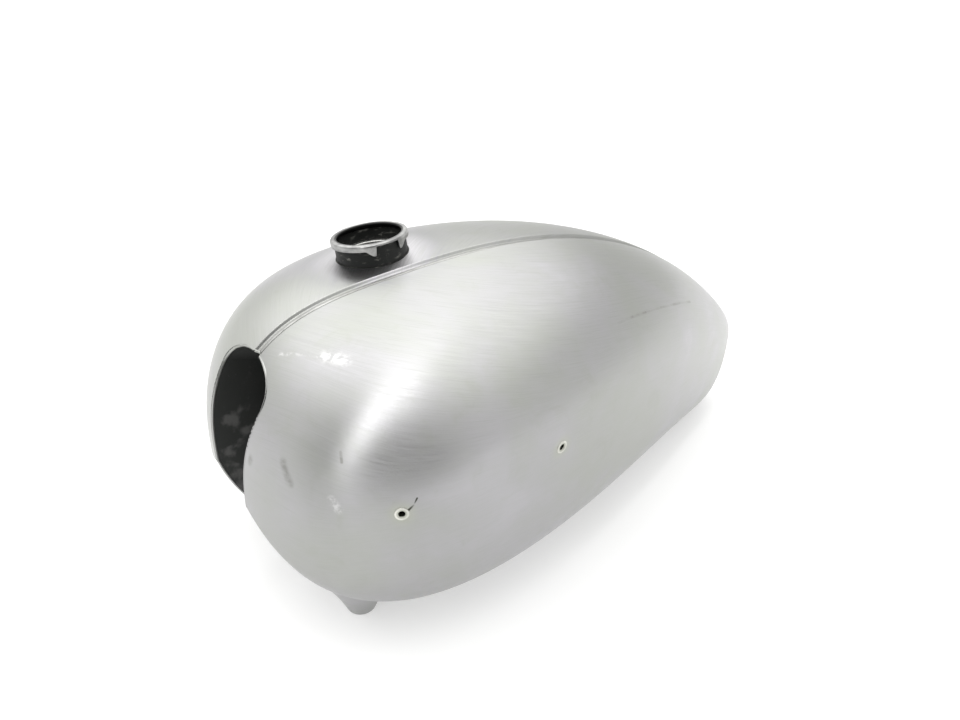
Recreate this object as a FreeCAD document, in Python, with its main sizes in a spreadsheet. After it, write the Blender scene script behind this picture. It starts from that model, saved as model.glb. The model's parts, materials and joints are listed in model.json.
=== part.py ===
import FreeCAD, Part
import Sketcher
import math
import os
import re

os.makedirs("parts", exist_ok=True)

# Motorcycle fuel tank: two pressed half shells seam-welded along a recessed centre channel and
# closed underneath by a frame tunnel, with a bayonet filler neck, screw bushes for the side badges,
# front mounting cups, fuel tap bungs and a rear fixing bridge inside the tunnel.
# Millimetres.  +Z up, the front faces -Y, the tank's left side faces +X.  The origin is on the
# symmetry plane at mid length, level with the feet of the mounting cups and tap bungs.

V = FreeCAD.Vector
doc = FreeCAD.newDocument("fuel_tank")

# ---------------------------------------------------------------- driving dimensions
DIMENSIONS = {
    "tank_length": 550.0,
    "sheet_metal": 1.2,
    "nose_height": 130.0,
    "tail_height": 90.0,
    # fractions that shape a cross-section between its top, its widest line and its belly
    "crown_width_part": 0.53,
    "shoulder_height_part": 0.52,
    "flank_height_part": 0.63,
    "belly_width_part": 0.66,
    "cap_part": 0.005,
    # recessed channel over the centre seam, and the weld on its floor
    "drill_length": 60.0,
    "channel_half_width": 4.5,
    "channel_depth": 3.0,
    "channel_rear_end": 195.0,
    "channel_lowest": 160.0,
    "seam_weld_half_width": 1.6,
    "seam_weld_height": 0.8,
    # frame tunnel: an arch at the front and a smaller one at the rear, joined by straight lines
    "arch_front_y": -240.0,
    "arch_front_half": 37.2,
    "arch_front_spring": 192.0,
    "arch_front_rise": 24.5,
    "arch_front_foot": 21.7,
    "arch_rear_y": 250.0,
    "arch_rear_half": 18.0,
    "arch_rear_spring": 22.0,
    "arch_rear_rise": 12.0,
    "arch_rear_foot": 16.0,
    "arch_foot_level": -30.0,
    # filler neck: centre of the rim's top plane, and the lean of its axis in degrees
    "neck_x": -47.5,
    "neck_y": -120.0,
    "neck_z": 265.0,
    "neck_lean_side": -9.2,
    "neck_lean_front": 3.2,
    "rim_radius": 31.5,
    "rim_sheet": 1.6,
    "rim_corner": 1.2,
    "rim_bore_radius": 26.0,
    "rim_lip": 4.0,
    "rim_play": 0.3,
    "rim_skirt": 5.5,
    "rim_tab": 10.0,
    "rim_tab_angle": 12.0,
    "notch_angle": 38.0,
    "notch_centre": 2.0,
    "tube_radius": 29.0,
    "tube_wall": 2.0,
    "tube_length": 30.0,
    "seat_depth": 14.0,
    "seat_sheet": 1.5,
    "seat_bore_radius": 22.5,
    "seat_turn_down": 4.0,
    "collar_radius": 37.0,
    "collar_sheet": 1.5,
    # screw bushes for the side badges, placed by fractions along and around the skin
    "front_bush_along": 0.266,
    "front_bush_around": 0.409,
    "rear_bush_along": 0.48,
    "rear_bush_around": 0.476,
    "bush_radius": 5.2,
    "bush_hole_radius": 2.1,
    "bush_length": 12.0,
    "bush_hole_depth": 9.0,
    "bush_proud": 0.4,
    "bush_chamfer": 0.5,
    # front mounting cups
    "cup_x": 73.0,
    "cup_y": -205.0,
    "cup_foot_radius": 11.5,
    "cup_neck_radius": 17.0,
    "cup_neck_height": 15.0,
    "cup_flare_radius": 34.6,
    "cup_flare_height": 52.0,
    "cup_sheet": 1.5,
    "cup_slope": 1.4,
    "cup_hole_radius": 4.2,
    "mount_bung_radius": 7.5,
    "mount_hole_radius": 3.4,
    "mount_hole_depth": 14.0,
    # fuel tap bungs
    "tap_x": 40.0,
    "tap_y": 112.0,
    "tap_radius": 11.0,
    "tap_hole_radius": 5.9,
    "tap_length": 16.0,
    "tap_chamfer": 1.0,
    # rear fixing bridge inside the tunnel, and its weld nut
    "bridge_y": 205.0,
    "bridge_length": 28.0,
    "bridge_half_width": 26.0,
    "bridge_sheet": 2.5,
    "bridge_top": 32.5,
    "bridge_flange": 15.0,
    "bridge_wall": 16.4,
    "bridge_hole_radius": 4.5,
    "nut_across_flats": 13.0,
    "nut_height": 6.5,
    "nut_hole_radius": 3.4,
}

# Lines plan: lengthwise place, half width, top, widest line and belly at six stations
STATION_FIELDS = ("place", "half", "top", "middle", "belly")
STATIONS = {
    "brow": (-275.0, 76.0, 172.0, 70.0, 96.0),
    "shoulder": (-237.0, 135.0, 240.0, 116.0, 17.0),
    "crown": (-134.0, 168.0, 251.0, 166.0, -2.0),
    "waist": (18.0, 134.0, 258.0, 162.0, 4.0),
    "haunch": (185.0, 64.0, 196.0, 120.0, 9.0),
    "tail": (275.0, 26.0, 96.0, 64.0, 0.0),
}

sheet = doc.addObject("Spreadsheet::Sheet", "dimensions")


def fill_sheet():
    rows = dict(DIMENSIONS)
    for station, values in STATIONS.items():
        for field, value in zip(STATION_FIELDS, values):
            rows[f"{station}_{field}"] = value
    for row, (name, value) in enumerate(rows.items(), start=1):
        sheet.set(f"A{row}", name)
        sheet.set(f"B{row}", str(value))
        sheet.setAlias(f"B{row}", name)
    doc.recompute()


fill_sheet()


def dim(name):
    return float(getattr(sheet, name))


def cells(expression):
    """The expression with each dimension's name turned into its spreadsheet cell."""
    return re.sub(r"[a-z]+_[a-z_]+", lambda found: "dimensions." + found.group(0), expression)


T = dim("sheet_metal")
HALF = dim("tank_length") / 2.0
BEYOND = 25.0  # how far a cutting form runs past what it cuts


# ---------------------------------------------------------------- the tank's outer form
def section_row(station, inset, sign):
    place, half, top, middle, belly = (dim(f"{station}_{field}") for field in STATION_FIELDS)
    place = max(-HALF + inset, min(HALF - inset, place))
    half = sign * (half - inset)
    top -= inset
    belly += inset
    shoulder = middle + dim("shoulder_height_part") * (top - middle)
    flank = middle - dim("flank_height_part") * (middle - belly)
    outline = (
        (0.0, top),
        (dim("crown_width_part") * half, top),
        (half, shoulder),
        (half, middle),
        (half, flank),
        (dim("belly_width_part") * half, belly),
        (0.0, belly),
    )
    return [V(x, place, z) for x, z in outline]


def half_skin(inset, sign=1.0):
    """B-spline surface of one half, moved inwards by inset; sign is -1 for the right half."""
    nose = [V(0.0, -HALF + inset, dim("nose_height"))] * 7
    tail = [V(0.0, HALF - inset, dim("tail_height"))] * 7
    poles = [nose] + [section_row(name, inset, sign) for name in STATIONS] + [tail]
    surface = Part.BSplineSurface()
    surface.buildFromPolesMultsKnots(
        poles, (4, 1, 1, 1, 1, 4), (4, 1, 1, 1, 4),
        (0.0, 0.2, 0.4, 0.6, 0.8, 1.0), (0.0, 0.25, 0.5, 0.75, 1.0),
        False, False, 3, 3)
    return surface


def egg(inset):
    """Closed solid of the whole outer form, moved inwards by inset, with tiny flat end caps."""
    ends = (dim("cap_part"), 1.0 - dim("cap_part"))
    halves = [half_skin(inset), half_skin(inset, -1.0)]
    for surface in halves:
        surface.segment(ends[0], ends[1], 0.0, 1.0)
    faces = [surface.toShape() for surface in halves]
    for end in ends:
        faces.append(Part.Face(Part.Wire([surface.uIso(end).toShape() for surface in halves])))
    shell = Part.Shell(faces)
    shell.sewShape()
    solid = Part.Solid(shell)
    if solid.Volume < 0:
        solid.reverse()
    return solid


def seam_slab(half_width, rear_end):
    """Upright slab along the symmetry plane, from ahead of the nose to rear_end."""
    corner = V(-half_width, -HALF - BEYOND, dim("channel_lowest"))
    return Part.makeBox(2.0 * half_width, rear_end + HALF + BEYOND, 2.0 * HALF, corner)


def grooved_egg(inset):
    """The outer form with the centre channel sunk in its top."""
    floor = egg(inset + dim("channel_depth"))
    slab = seam_slab(dim("channel_half_width") + inset, dim("channel_rear_end") + inset)
    return egg(inset).cut(slab.cut(floor))


def side_space(side):
    """Everything on one side of the symmetry plane."""
    corner = V(0.0 if side == "left" else -2.0 * HALF, -2.0 * HALF, -HALF)
    return Part.makeBox(2.0 * HALF, 4.0 * HALF, 3.0 * HALF, corner)


# ---------------------------------------------------------------- frame tunnel
def arch_wire(y, grow):
    """Closed tunnel section at y: an elliptical arch on two straight walls."""
    front_y = dim("arch_front_y")
    part = (y - front_y) / (dim("arch_rear_y") - front_y)

    def between(name):
        front = dim("arch_front_" + name)
        return front + part * (dim("arch_rear_" + name) - front)

    half = between("half") + grow
    rise = between("rise") + grow
    foot = between("foot") + grow
    centre = V(0, y, between("spring"))
    ellipse = Part.Ellipse(centre + V(half, 0, 0), centre + V(0, 0, rise), centre)
    arch = Part.ArcOfEllipse(ellipse, 0.0, math.pi).toShape()
    level = dim("arch_foot_level")
    corners = [centre - V(half, 0, 0), V(-foot, y, level), V(foot, y, level), centre + V(half, 0, 0)]
    return Part.Wire([arch] + Part.makePolygon(corners).Edges)


def tunnel_form(grow):
    ends = [arch_wire(-HALF - BEYOND, grow), arch_wire(HALF + BEYOND, grow)]
    return Part.makeLoft(ends, True, True)


# ---------------------------------------------------------------- document helpers
def fixed_form(name, shape):
    """A computed form, for shapes that sketches and primitives don't make, with its skin outwards."""
    if shape.Volume < 0:
        shape = shape.reversed()
    feature = doc.addObject("Part::Feature", name)
    feature.Shape = shape
    return feature


def body(name):
    return doc.addObject("PartDesign::Body", name)


def origin_plane(owner, role):
    return next(plane for plane in owner.Origin.OriginFeatures if plane.Role == role)


def outline(owner, role, corners):
    """Sketch of straight lines through corners, each coordinate bound to the sheet."""
    sketch = owner.newObject("Sketcher::SketchObject", owner.Name + "_outline")
    sketch.AttachmentSupport = (origin_plane(owner, role), [""])
    sketch.MapMode = "FlatFace"
    count = len(corners)
    turn = 2.0 * math.pi / count
    start = [V(40 + 10 * math.cos(turn * i), 10 * math.sin(turn * i), 0) for i in range(count)]
    for i in range(count):
        sketch.addGeometry(Part.LineSegment(start[i], start[(i + 1) % count]), False)
    for i in range(count):
        sketch.addConstraint(Sketcher.Constraint("Coincident", i, 2, (i + 1) % count, 1))
    for i, corner in enumerate(corners):
        for kind, expression in zip(("DistanceX", "DistanceY"), corner):
            position = start[i].x if kind == "DistanceX" else start[i].y
            number = sketch.addConstraint(Sketcher.Constraint(kind, i, 1, position))
            sketch.setExpression(f"Constraints[{number}]", cells(expression))
    doc.recompute()
    return sketch


def circle(owner, role, radius):
    """Sketch of one circle about the origin, its radius bound to the sheet."""
    sketch = owner.newObject("Sketcher::SketchObject", owner.Name + "_circle")
    sketch.AttachmentSupport = (origin_plane(owner, role), [""])
    sketch.MapMode = "FlatFace"
    sketch.addGeometry(Part.Circle(V(0, 0, 0), V(0, 0, 1), 10.0), False)
    sketch.addConstraint(Sketcher.Constraint("Coincident", 0, 3, -1, 1))
    number = sketch.addConstraint(Sketcher.Constraint("Radius", 0, 10.0))
    sketch.setExpression(f"Constraints[{number}]", cells(radius))
    doc.recompute()
    return sketch


def revolve(owner, corners, kind="Revolution", role="XZ_Plane", angle="360"):
    """Turn an outline in (radius, height) about the body's own vertical axis."""
    sketch = outline(owner, role, corners)
    turned = owner.newObject("PartDesign::" + kind, owner.Name + "_" + kind.lower())
    turned.Profile = sketch
    turned.ReferenceAxis = (sketch, ["V_Axis"])
    turned.setExpression("Angle", cells(angle))
    turned.Midplane = angle != "360"
    doc.recompute()
    return turned


def twice_round(owner, feature):
    """Repeat a feature on the opposite side of the body's vertical axis."""
    pattern = owner.newObject("PartDesign::PolarPattern", owner.Name + "_pattern")
    pattern.Originals = [feature]
    axis = next(line for line in owner.Origin.OriginFeatures if line.Role == "Z_Axis")
    pattern.Axis = (axis, [""])
    pattern.Angle = 360.0
    pattern.Occurrences = 2
    owner.Tip = pattern
    doc.recompute()
    return pattern


def bevel(owner, feature, edges, size):
    chamfer = owner.newObject("PartDesign::Chamfer", owner.Name + "_chamfer")
    chamfer.Base = (feature, edges)
    chamfer.setExpression("Size", cells(size))
    doc.recompute()


def circles_at(shape, radius, height):
    """Names of the circular edges of that radius at that height."""
    names = []
    for number, edge in enumerate(shape.Edges, start=1):
        if not isinstance(edge.Curve, Part.Circle):
            continue
        if abs(edge.Curve.Radius - radius) < 1e-3 and abs(edge.Curve.Center.z - height) < 1e-3:
            names.append(f"Edge{number}")
    return names


def placed(owner, **expressions):
    for coordinate, expression in expressions.items():
        owner.setExpression(f"Placement.Base.{coordinate}", cells(expression))
    return owner


def boolean(kind, name, base, tool):
    result = doc.addObject("Part::" + kind, name)
    result.Base = base
    result.Tool = tool
    return result


def drill(name, radius, placement):
    """Cylinder along a fitting's axis, centred on its placement, for the hole it sits in."""
    cylinder = doc.addObject("Part::Cylinder", name)
    cylinder.setExpression("Radius", cells(radius))
    cylinder.setExpression("Height", cells("drill_length"))
    start = FreeCAD.Placement(V(0, 0, -dim("drill_length") / 2.0), FreeCAD.Rotation())
    cylinder.Placement = placement.multiply(start)
    return cylinder


nodes = {}


def node(label, feature):
    feature.Label = label
    nodes[label] = feature
    return feature


# ---------------------------------------------------------------- forms shared by several parts
SIDES = {"left": 1.0, "right": -1.0}
outer = grooved_egg(0.0)
tank_form = fixed_form("tank_form", outer)
tunnel_hole = tunnel_form(0.0)
tunnel_cut = tunnel_form(T)
tunnel_space = fixed_form("tunnel_space", tunnel_hole)


# ---------------------------------------------------------------- filler neck
def neck_placement(depth=0.0, spin=0.0):
    """Placement on the leaning neck axis, depth below the rim and turned by spin degrees."""
    lean = FreeCAD.Rotation(V(0, 1, 0), dim("neck_lean_side"))
    lean = FreeCAD.Rotation(V(1, 0, 0), dim("neck_lean_front")).multiply(lean)
    turned = lean.multiply(FreeCAD.Rotation(V(0, 0, 1), spin))
    centre = V(dim("neck_x"), dim("neck_y"), dim("neck_z"))
    return FreeCAD.Placement(centre - lean.multVec(V(0, 0, depth)), turned)


def make_filler_neck():
    tube = body("neck_tube")
    revolve(tube, (
        ("tube_radius - tube_wall", "-rim_sheet"),
        ("tube_radius", "-rim_sheet"),
        ("tube_radius", "-tube_length"),
        ("tube_radius - tube_wall", "-tube_length")))
    tube.Placement = neck_placement()
    node("filler_neck", tube)


def make_filler_rim():
    """Rolled rim: flange, inner lip and skirt, notched on two sides with a tab at each notch end."""
    rim = body("rim")
    revolve(rim, (
        ("rim_bore_radius", "-rim_corner"),
        ("rim_bore_radius + rim_corner", "0"),
        ("rim_radius - rim_corner", "0"),
        ("rim_radius", "-rim_corner"),
        ("rim_radius", "-rim_tab"),
        ("rim_radius - rim_sheet", "-rim_tab"),
        ("rim_radius - rim_sheet", "-rim_sheet"),
        ("tube_radius - tube_wall", "-rim_sheet"),
        ("tube_radius - tube_wall", "-rim_lip"),
        ("rim_bore_radius", "-rim_lip")))
    notch = revolve(rim, (
        ("tube_radius + rim_play", "-rim_sheet"),
        ("rim_radius + 2", "-rim_sheet"),
        ("rim_radius + 2", "-rim_tab - 2"),
        ("tube_radius + rim_play", "-rim_tab - 2")), "Groove", "XZ_Plane", "notch_angle")
    twice_round(rim, notch)
    skirt = revolve(rim, (
        ("tube_radius + rim_play", "-rim_skirt"),
        ("rim_radius + 2", "-rim_skirt"),
        ("rim_radius + 2", "-rim_tab - 2"),
        ("tube_radius + rim_play", "-rim_tab - 2")), "Groove", "YZ_Plane",
        "180 - notch_angle - 2 * rim_tab_angle")
    twice_round(rim, skirt)
    rim.Placement = neck_placement(spin=dim("notch_centre"))
    node("filler_rim", rim)


def make_filler_seat():
    """Ledge inside the neck that the cap's gasket presses on."""
    seat = body("seat")
    revolve(seat, (
        ("tube_radius - tube_wall", "-seat_depth"),
        ("tube_radius - tube_wall", "-seat_depth - seat_sheet"),
        ("seat_bore_radius + seat_sheet", "-seat_depth - seat_sheet"),
        ("seat_bore_radius + seat_sheet", "-seat_depth - seat_turn_down"),
        ("seat_bore_radius", "-seat_depth - seat_turn_down"),
        ("seat_bore_radius", "-seat_depth")))
    seat.Placement = neck_placement()
    node("filler_seat", seat)


def make_neck_collar():
    """Reinforcing ring that follows the underside of the skin round the neck."""
    layer = fixed_form("collar_layer", egg(T).cut(egg(T + dim("collar_sheet"))))
    disc = drill("collar_disc", "collar_radius", neck_placement(dim("tube_length") / 2.0))
    centre_hole = drill("collar_hole", "tube_radius", neck_placement(dim("tube_length") / 2.0))
    ring = boolean("Cut", "collar_ring", disc, centre_hole)
    node("neck_collar", boolean("Common", "neck_collar", layer, ring))


# ---------------------------------------------------------------- badge bushes
def bush_placement(end, side):
    surface = half_skin(0.0)
    along, around = dim(end + "_bush_along"), dim(end + "_bush_around")
    point, normal = surface.value(along, around), surface.normal(along, around)
    if normal.x < 0:
        normal = -normal
    sign = SIDES[side]
    point = V(sign * point.x, point.y, point.z)
    normal = V(sign * normal.x, normal.y, normal.z)
    return FreeCAD.Placement(point, FreeCAD.Rotation(V(0, 0, 1), normal))


def make_bush(end, side):
    """Blind threaded bush brazed through the skin, square to it."""
    bush = body(f"{side}_{end}_bush")
    turned = revolve(bush, (
        ("0", "bush_proud - bush_length"),
        ("bush_radius", "bush_proud - bush_length"),
        ("bush_radius", "bush_proud"),
        ("bush_hole_radius", "bush_proud"),
        ("bush_hole_radius", "bush_proud - bush_hole_depth"),
        ("0", "bush_proud - bush_hole_depth")))
    mouth = circles_at(bush.Shape, dim("bush_hole_radius"), dim("bush_proud"))
    rim = circles_at(bush.Shape, dim("bush_radius"), dim("bush_proud"))
    bevel(bush, turned, mouth + rim, "bush_chamfer / 2")
    bush.Placement = bush_placement(end, side)
    node(f"{side}_{end}_badge_bush", bush)
    return drill(f"{side}_{end}_bush_hole", "bush_radius", bush.Placement)


# ---------------------------------------------------------------- front mounts and fuel taps
def make_front_mount(side):
    """Drawn cup welded under the front lobe, holding a threaded bung against the skin."""
    cup = body(f"{side}_cup")
    revolve(cup, (
        ("cup_hole_radius", "0"),
        ("cup_foot_radius - cup_sheet", "0"),
        ("cup_foot_radius", "cup_sheet"),
        ("cup_neck_radius", "cup_neck_height"),
        ("cup_flare_radius", "cup_flare_height"),
        ("cup_flare_radius - cup_slope * cup_sheet", "cup_flare_height"),
        ("cup_neck_radius - cup_slope * cup_sheet", "cup_neck_height"),
        ("cup_foot_radius - cup_sheet", "cup_sheet"),
        ("cup_hole_radius", "cup_sheet")))
    bung = body(f"{side}_bung")
    revolve(bung, (
        ("0", "mount_hole_depth + cup_sheet"),
        ("mount_hole_radius", "mount_hole_depth + cup_sheet"),
        ("mount_hole_radius", "cup_sheet"),
        ("mount_bung_radius", "cup_sheet"),
        ("mount_bung_radius", "cup_flare_height"),
        ("0", "cup_flare_height")))
    for piece, label in ((cup, "mount_cup"), (bung, "mount_bung")):
        placed(piece, x=f"{SIDES[side]} * cup_x", y="cup_y")
        node(f"{side}_{label}", boolean("Cut", f"{side}_{label}", piece, tank_form))


def make_tap_bung(side):
    """Bung through the belly for a fuel tap: a turned blank with a tapped hole right through."""
    bung = body(f"{side}_tap")
    blank = bung.newObject("PartDesign::Pad", bung.Name + "_pad")
    blank.Profile = circle(bung, "XY_Plane", "tap_radius")
    blank.setExpression("Length", cells("tap_length"))
    doc.recompute()
    hole = bung.newObject("PartDesign::Pocket", bung.Name + "_pocket")
    hole.Profile = circle(bung, "XY_Plane", "tap_hole_radius")
    hole.Type = "ThroughAll"
    hole.Reversed = True
    doc.recompute()
    edges = circles_at(bung.Shape, dim("tap_radius"), 0.0)
    bevel(bung, hole, edges, "tap_chamfer")
    placed(bung, x=f"{SIDES[side]} * tap_x", y="tap_y")
    node(f"{side}_tap_bung", bung)
    centre = FreeCAD.Placement(V(SIDES[side] * dim("tap_x"), dim("tap_y"), 0), FreeCAD.Rotation())
    return drill(f"{side}_tap_hole", "tap_radius", centre)


# ---------------------------------------------------------------- rear fixing bridge
def make_rear_bridge():
    """Folded channel across the tunnel, trimmed to the tunnel's walls, with a bolt hole."""
    channel = body("bridge_channel")
    sketch = outline(channel, "XZ_Plane", (
        ("-bridge_half_width", "bridge_top"),
        ("bridge_half_width", "bridge_top"),
        ("bridge_half_width", "bridge_top - bridge_flange"),
        ("bridge_wall", "bridge_top - bridge_flange"),
        ("bridge_wall", "bridge_top - bridge_sheet"),
        ("-bridge_wall", "bridge_top - bridge_sheet"),
        ("-bridge_wall", "bridge_top - bridge_flange"),
        ("-bridge_half_width", "bridge_top - bridge_flange")))
    pad = channel.newObject("PartDesign::Pad", "bridge_pad")
    pad.Profile = sketch
    pad.Midplane = True
    pad.setExpression("Length", cells("bridge_length"))
    doc.recompute()
    hole = channel.newObject("PartDesign::Pocket", "bridge_hole")
    hole.Profile = circle(channel, "XY_Plane", "bridge_hole_radius")
    hole.Type = "ThroughAll"
    hole.Midplane = True
    doc.recompute()
    placed(channel, y="bridge_y")
    node("rear_bridge", boolean("Common", "rear_bridge", channel, tunnel_space))


def make_bridge_nut():
    """Hexagon weld nut on top of the bridge."""
    nut = body("nut")
    corner = "nut_across_flats / 2 / cos(30)"
    across = "nut_across_flats / 2"
    half_corner = "nut_across_flats / 4 / cos(30)"
    sketch = outline(nut, "XY_Plane", (
        (corner, "0"), (half_corner, across), ("-" + half_corner, across),
        ("-" + corner, "0"), ("-" + half_corner, "-" + across), (half_corner, "-" + across)))
    pad = nut.newObject("PartDesign::Pad", "nut_pad")
    pad.Profile = sketch
    pad.setExpression("Length", cells("nut_height"))
    doc.recompute()
    hole = nut.newObject("PartDesign::Pocket", "nut_hole")
    hole.Profile = circle(nut, "XY_Plane", "nut_hole_radius")
    hole.Type = "ThroughAll"
    hole.Reversed = True
    doc.recompute()
    placed(nut, y="bridge_y", z="bridge_top")
    node("rear_bridge_nut", nut)


# ---------------------------------------------------------------- shells, tunnel and welds
def make_shell(side, wall, holes):
    skin = fixed_form(f"{side}_skin", wall.common(side_space(side)))
    tools = doc.addObject("Part::Compound", f"{side}_holes")
    tools.Links = holes
    node(f"{side}_shell", boolean("Cut", f"{side}_shell", skin, tools))


def make_tunnel():
    node("tunnel", fixed_form("tunnel_pressing", outer.common(tunnel_cut).cut(tunnel_hole)))


def make_seam_weld():
    """Flattened weld bead along the channel floor, joining the two halves."""
    depth = dim("channel_depth")
    strip = seam_slab(dim("seam_weld_half_width"), dim("channel_rear_end"))
    strip = strip.common(egg(depth - dim("seam_weld_height")))
    node("seam_weld", fixed_form("seam_bead", strip.cut(egg(depth)).cut(tunnel_cut)))


def build():
    make_filler_neck()
    make_filler_rim()
    make_filler_seat()
    make_neck_collar()
    make_rear_bridge()
    make_bridge_nut()
    make_tunnel()
    make_seam_weld()
    wall = outer.cut(grooved_egg(T)).cut(tunnel_cut)
    for side in SIDES:
        holes = [make_bush("front", side), make_bush("rear", side), make_tap_bung(side)]
        if side == "right":
            holes.append(drill("neck_hole", "tube_radius", neck_placement(dim("tube_length") / 2.0)))
        make_shell(side, wall, holes)
        make_front_mount(side)
    doc.recompute()


def check_and_export():
    for thing in doc.Objects:
        faults = {"Invalid", "Error"} & set(thing.State)
        if faults:
            raise RuntimeError(f"{thing.Name}: {sorted(faults)}")
    for label, feature in nodes.items():
        shape = feature.Shape
        if shape.isNull() or not shape.isValid() or not shape.Solids or shape.Volume <= 0:
            raise RuntimeError(f"{label}: bad shape")
    for label, feature in nodes.items():
        feature.Shape.exportStep(f"parts/{label}.step")
        box = feature.Shape.BoundBox
        print(f"{label}: {len(feature.Shape.Solids)} solid, {feature.Shape.Volume:.0f} mm3,"
              f" z {box.ZMin:.1f} to {box.ZMax:.1f}")


build()
check_and_export()
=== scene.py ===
import bpy
import json
import math
import numpy as np
from mathutils import Matrix, Quaternion, Vector
from mathutils.bvhtree import BVHTree


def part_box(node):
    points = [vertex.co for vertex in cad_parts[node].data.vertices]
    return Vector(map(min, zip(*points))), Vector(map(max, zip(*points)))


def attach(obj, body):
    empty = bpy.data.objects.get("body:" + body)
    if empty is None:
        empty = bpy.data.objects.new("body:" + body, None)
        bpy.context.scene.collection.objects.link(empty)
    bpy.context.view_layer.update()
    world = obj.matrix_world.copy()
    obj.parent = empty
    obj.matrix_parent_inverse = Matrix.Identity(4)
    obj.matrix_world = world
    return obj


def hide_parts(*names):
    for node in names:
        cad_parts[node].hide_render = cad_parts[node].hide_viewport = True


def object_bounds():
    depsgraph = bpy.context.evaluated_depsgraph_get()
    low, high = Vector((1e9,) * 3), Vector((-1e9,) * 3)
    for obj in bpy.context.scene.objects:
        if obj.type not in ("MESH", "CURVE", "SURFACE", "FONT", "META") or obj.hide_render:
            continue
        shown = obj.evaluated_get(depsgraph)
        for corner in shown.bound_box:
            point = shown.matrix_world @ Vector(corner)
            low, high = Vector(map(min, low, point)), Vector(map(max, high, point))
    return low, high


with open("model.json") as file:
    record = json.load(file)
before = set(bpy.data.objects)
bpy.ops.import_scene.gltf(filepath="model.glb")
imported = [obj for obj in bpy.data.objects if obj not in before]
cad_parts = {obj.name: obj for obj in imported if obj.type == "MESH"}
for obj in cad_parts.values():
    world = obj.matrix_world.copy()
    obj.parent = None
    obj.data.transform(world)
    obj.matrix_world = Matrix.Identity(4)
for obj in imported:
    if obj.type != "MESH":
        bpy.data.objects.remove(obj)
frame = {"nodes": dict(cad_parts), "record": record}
CAD_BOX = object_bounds()

# A bare-steel motorcycle fuel tank on a white ground.  Lengths in this script are in millimetres in
# the model's own frame (+Z up, front -Y, left side +X) and MM turns them into metres.
MM = 0.001
ROOT = "root"
MOUNTS = {mount["name"]: mount for mount in frame["record"]["mounts"]}

# ---------------------------------------------------------------- the skin's lines plan
HALF_LENGTH = 275.0
NOSE_HEIGHT = 130.0
TAIL_HEIGHT = 90.0
CROWN_WIDTH_PART = 0.53
SHOULDER_HEIGHT_PART = 0.52
FLANK_HEIGHT_PART = 0.63
BELLY_WIDTH_PART = 0.66
SHEET = 1.2
# place along the tank, half width, top, widest line and belly
STATIONS = (
    (-275.0, 76.0, 172.0, 70.0, 96.0),
    (-237.0, 135.0, 240.0, 116.0, 17.0),
    (-134.0, 168.0, 251.0, 166.0, -2.0),
    (18.0, 134.0, 258.0, 162.0, 4.0),
    (185.0, 64.0, 196.0, 120.0, 9.0),
    (275.0, 26.0, 96.0, 64.0, 0.0),
)
ALONG_SPANS = 5
AROUND_SPANS = 4

# Centre channel
CHANNEL_FLOOR = 2.9
CHANNEL_LIP = 5.4
CHANNEL_FRONT_DEPTH = 2.4
CHANNEL_REAR_DEPTH = 4.2
CHANNEL_DEEPENS = (-60.0, 110.0)
CHANNEL_ENDS = (183.0, 196.0)

# Frame tunnel: half width, spring height, rise and foot half width at its front and rear
TUNNEL_FRONT = (-240.0, 37.2, 192.0, 24.5, 21.7)
TUNNEL_REAR = (250.0, 18.0, 22.0, 12.0, 16.0)
TUNNEL_FOOT_LEVEL = -30.0

# Skin mesh
ROWS = 200
SEAM_COLUMNS = (0.0, 0.8, 1.6, 2.3, 2.8, 3.2, 3.6, 4.0, 4.4, 4.8, 5.2, 5.6, 6.2, 7.2, 9.0, 11.5)
SIDE_COLUMNS = 92
SNAP_SHARE = 0.3
EVEN_LINE = 0.45
BRUSH_LENGTH = 0.66
BRUSH_GIRTH = 0.42
STROKE_SLANT = 0.8
NOSE_SLANT = 0.7


def control_net():
    """Poles of the left half's spline surface, from nose to tail and from top to belly."""
    rows = [[(0.0, -HALF_LENGTH, NOSE_HEIGHT)] * 7]
    for place, half, top, middle, belly in STATIONS:
        shoulder = middle + SHOULDER_HEIGHT_PART * (top - middle)
        flank = middle - FLANK_HEIGHT_PART * (middle - belly)
        rows.append([
            (0.0, place, top),
            (CROWN_WIDTH_PART * half, place, top),
            (half, place, shoulder),
            (half, place, middle),
            (half, place, flank),
            (BELLY_WIDTH_PART * half, place, belly),
            (0.0, place, belly)])
    rows.append([(0.0, HALF_LENGTH, TAIL_HEIGHT)] * 7)
    return np.array(rows)


def spline_basis(t, spans):
    """Clamped cubic B-spline basis at each t, on evenly spaced knots."""
    knots = np.concatenate([np.zeros(3), np.linspace(0.0, 1.0, spans + 1), np.ones(3)])
    t = np.clip(np.asarray(t, float), 0.0, 1.0 - 1e-9)[..., None]
    values = ((knots[:-1] <= t) & (t < knots[1:])).astype(float)
    for degree in (1, 2, 3):
        count = values.shape[-1] - 1
        start, stop = knots[:count], knots[degree:degree + count]
        start_2, stop_2 = knots[1:1 + count], knots[degree + 1:degree + 1 + count]
        rise = (t - start) / np.where(stop > start, stop - start, 1.0)
        fall = (stop_2 - t) / np.where(stop_2 > start_2, stop_2 - start_2, 1.0)
        values = rise * values[..., :-1] + fall * values[..., 1:]
    return values


NET = control_net()


def plain_skin(u, v):
    """Points of the left half's outer surface, before the channel is pressed in."""
    return np.einsum("...a,...b,abc->...c", spline_basis(u, ALONG_SPANS),
                     spline_basis(v, AROUND_SPANS), NET)


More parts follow.
